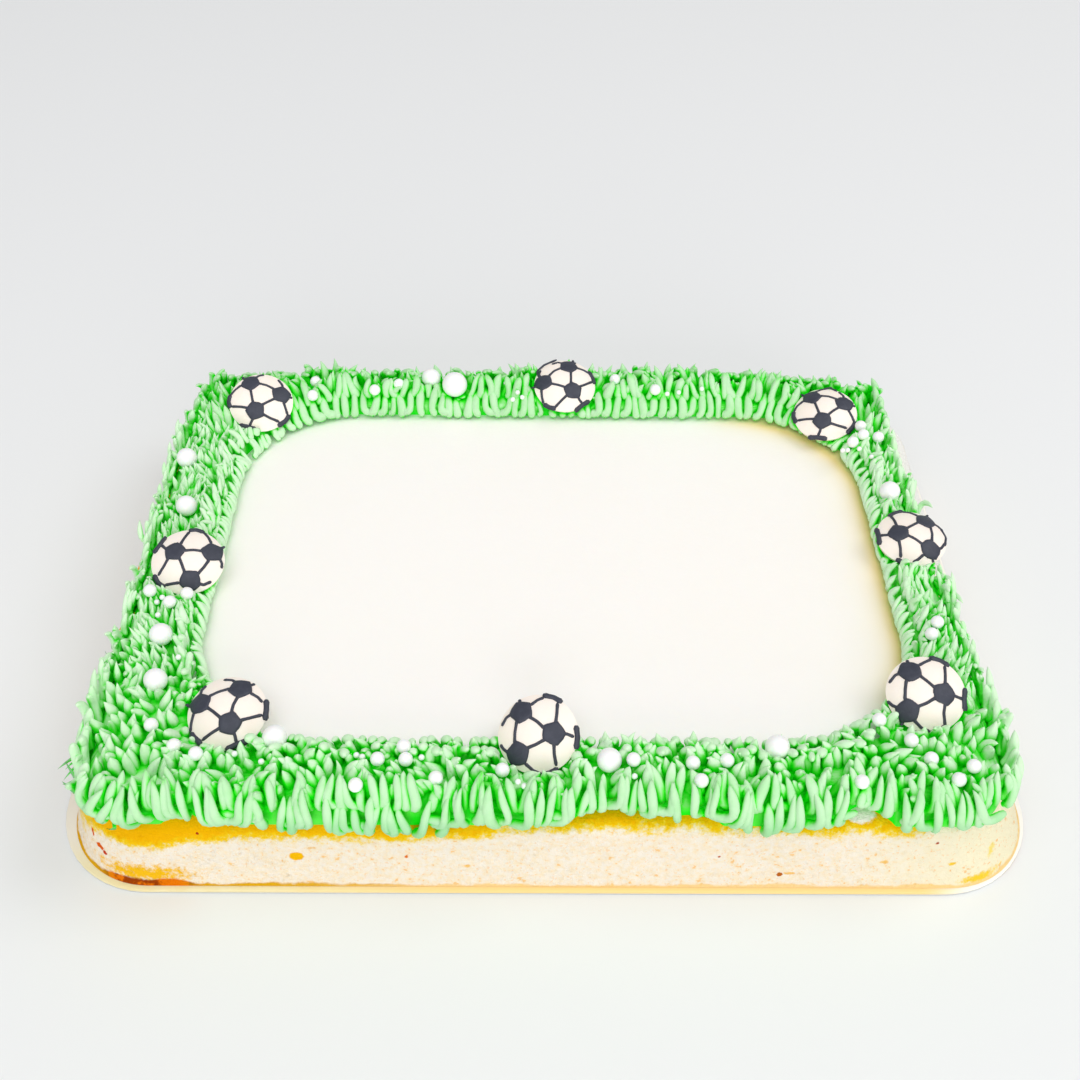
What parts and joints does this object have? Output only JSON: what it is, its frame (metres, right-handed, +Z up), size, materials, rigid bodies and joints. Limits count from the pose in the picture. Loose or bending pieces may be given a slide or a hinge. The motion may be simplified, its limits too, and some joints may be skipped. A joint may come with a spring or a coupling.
{
  "type": "sheet cake",
  "caption": "Rectangular sheet cake on a thin card board, with white icing, a piped grass border, ball toppers and sugar pearls.",
  "frame": {"origin": "middle of the board's underside", "axes": "+X along the long side, -Y towards the front of the cake, +Z up"},
  "size_m": [0.3364, 0.2346, 0.0543],
  "materials": {
    "card_board": "pale gold laminated card",
    "sponge_crumb": "baked sponge crumb",
    "white_icing": "smooth satin icing",
    "green_buttercream": "satin piped buttercream",
    "topper_icing": "dry royal icing",
    "dark_icing": "dry dark royal icing",
    "pearl_sugar": "polished sugar pearl"
  },
  "bodies": {
    "root": {"cake_board": "card_board", "sponge": "sponge_crumb", "white_icing": "white_icing", "grass_border": "green_buttercream", "topper_back_left": "topper_icing", "topper_back_middle": "topper_icing", "topper_back_right": "topper_icing", "topper_middle_left": "topper_icing", "topper_middle_right": "topper_icing", "topper_front_left": "topper_icing", "topper_front_middle": "topper_icing", "topper_front_right": "topper_icing", "pearl_large_01": "pearl_sugar", "pearl_large_02": "pearl_sugar", "pearl_large_03": "pearl_sugar", "pearl_large_04": "pearl_sugar", "pearl_large_05": "pearl_sugar", "pearl_large_06": "pearl_sugar", "pearl_large_07": "pearl_sugar", "pearl_large_08": "pearl_sugar", "pearl_large_09": "pearl_sugar", "pearl_large_10": "pearl_sugar"}
  },
  "joints": []
}
